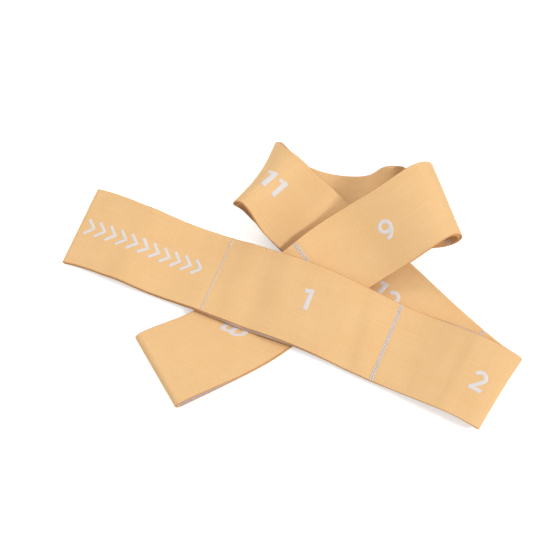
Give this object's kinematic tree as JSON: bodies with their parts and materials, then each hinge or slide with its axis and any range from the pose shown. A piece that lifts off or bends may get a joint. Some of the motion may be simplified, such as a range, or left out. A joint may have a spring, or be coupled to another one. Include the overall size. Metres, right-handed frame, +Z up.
{
  "type": "looped resistance band",
  "caption": "Flat woven elastic stretch strap sewn into a row of hand and foot loops, lying folded over itself.",
  "frame": {"origin": "centre of the bounding box's foot, on the surface the strap lies on", "axes": "+Z up, +X towards the right-hand fold of the top run, +Y away from the viewer"},
  "size_m": [0.2748, 0.1802, 0.0383],
  "materials": {
    "woven_web": "matte woven",
    "rubber_thread": "matte",
    "seam_thread": "matte"
  },
  "bodies": {
    "base_run": {"loop_3_fold_front_web": "woven_web", "loop_3_fold_front_rubber": "rubber_thread", "loop_3_fold_back_web": "woven_web", "loop_3_fold_back_rubber": "rubber_thread", "loop_4_front_web": "woven_web", "loop_4_front_rubber": "rubber_thread", "loop_4_back_web": "woven_web", "loop_4_back_rubber": "rubber_thread", "loop_5_front_web": "woven_web", "loop_5_front_rubber": "rubber_thread", "loop_5_back_web": "woven_web", "loop_5_back_rubber": "rubber_thread", "loop_6_front_web": "woven_web", "loop_6_front_rubber": "rubber_thread", "loop_6_back_web": "woven_web", "loop_6_back_rubber": "rubber_thread", "loop_7_fold_front_web": "woven_web", "loop_7_fold_front_rubber": "rubber_thread", "loop_7_fold_back_web": "woven_web", "loop_7_fold_back_rubber": "rubber_thread", "cross_seam_3": "seam_thread", "cross_seam_4": "seam_thread", "cross_seam_5": "seam_thread", "cross_seam_6": "seam_thread"},
    "top_run": {"loop_3_top_front_web": "woven_web", "loop_3_top_front_rubber": "rubber_thread", "loop_3_top_back_web": "woven_web", "loop_3_top_back_rubber": "rubber_thread", "cross_seam_2": "seam_thread"},
    "second_loop": {"loop_2_front_web": "woven_web", "loop_2_front_rubber": "rubber_thread", "loop_2_back_web": "woven_web", "loop_2_back_rubber": "rubber_thread"},
    "first_seam": {"cross_seam_1": "seam_thread"},
    "first_loop": {"loop_1_front_web": "woven_web", "loop_1_front_rubber": "rubber_thread", "loop_1_back_web": "woven_web", "loop_1_back_rubber": "rubber_thread"},
    "start_tip": {"start_end_web": "woven_web", "start_end_rubber": "rubber_thread"},
    "middle_run": {"loop_7_run_front_web": "woven_web", "loop_7_run_front_rubber": "rubber_thread", "loop_7_run_back_web": "woven_web", "loop_7_run_back_rubber": "rubber_thread", "loop_8_run_front_web": "woven_web", "loop_8_run_front_rubber": "rubber_thread", "loop_8_run_back_web": "woven_web", "loop_8_run_back_rubber": "rubber_thread", "cross_seam_7": "seam_thread"},
    "free_flap": {"loop_8_flap_front_web": "woven_web", "loop_8_flap_front_rubber": "rubber_thread", "loop_8_flap_back_web": "woven_web", "loop_8_flap_back_rubber": "rubber_thread"},
    "free_tip": {"free_end_web": "woven_web", "free_end_rubber": "rubber_thread"}
  },
  "joints": [
    {"name": "top_run_lift", "type": "hinge", "parent": "base_run", "child": "top_run", "pos_m": [0.10823, -0.06112, 0.01432], "axis": [0.4679, 0.863, 0.1906], "range_deg": [0, 40]},
    {"name": "second_seam_fold", "type": "hinge", "parent": "top_run", "child": "second_loop", "pos_m": [0.05655, -0.03691, 0.00768], "axis": [0.3806, 0.9187, 0.106], "range_deg": [0, 75]},
    {"name": "second_loop_stretch", "type": "slide", "parent": "second_loop", "child": "first_seam", "axis": [-0.9219, 0.3874, 0], "range_m": [0, 0.055], "stiffness_N_per_m": 200, "deforming": ["loop_2_front_web", "loop_2_front_rubber", "loop_2_back_web", "loop_2_back_rubber"]},
    {"name": "first_seam_fold", "type": "hinge", "parent": "first_seam", "child": "first_loop", "pos_m": [-0.04426, 0.0056, 0.00784], "axis": [0.3939, 0.919, -0.0175], "range_deg": [0, 130]},
    {"name": "first_loop_stretch", "type": "slide", "parent": "first_loop", "child": "start_tip", "axis": [-0.9296, 0.3687, 0], "range_m": [0, 0.045], "stiffness_N_per_m": 200, "deforming": ["loop_1_front_web", "loop_1_front_rubber", "loop_1_back_web", "loop_1_back_rubber"]},
    {"name": "middle_run_lift", "type": "hinge", "parent": "base_run", "child": "middle_run", "pos_m": [0.08389, 0.04603, 0.02644], "axis": [-0.4044, 0.9146, -0.0009], "range_deg": [0, 16]},
    {"name": "free_flap_lift", "type": "hinge", "parent": "middle_run", "child": "free_flap", "pos_m": [-0.03559, -0.03109, 0.00276], "axis": [-0.9205, 0.3907, 0], "range_deg": [0, 80]},
    {"name": "free_loop_stretch", "type": "slide", "parent": "free_flap", "child": "free_tip", "axis": [-0.8913, -0.4534, 0], "range_m": [0, 0.02], "stiffness_N_per_m": 200, "deforming": ["loop_8_flap_front_web", "loop_8_flap_front_rubber", "loop_8_flap_back_web", "loop_8_flap_back_rubber"]}
  ],
  "couplings": [
    {"joint": "middle_run_lift", "follows": "top_run_lift", "ratio": 0.4},
    {"joint": "second_loop_stretch", "follows": "first_loop_stretch", "ratio": 1.2222}
  ]
}
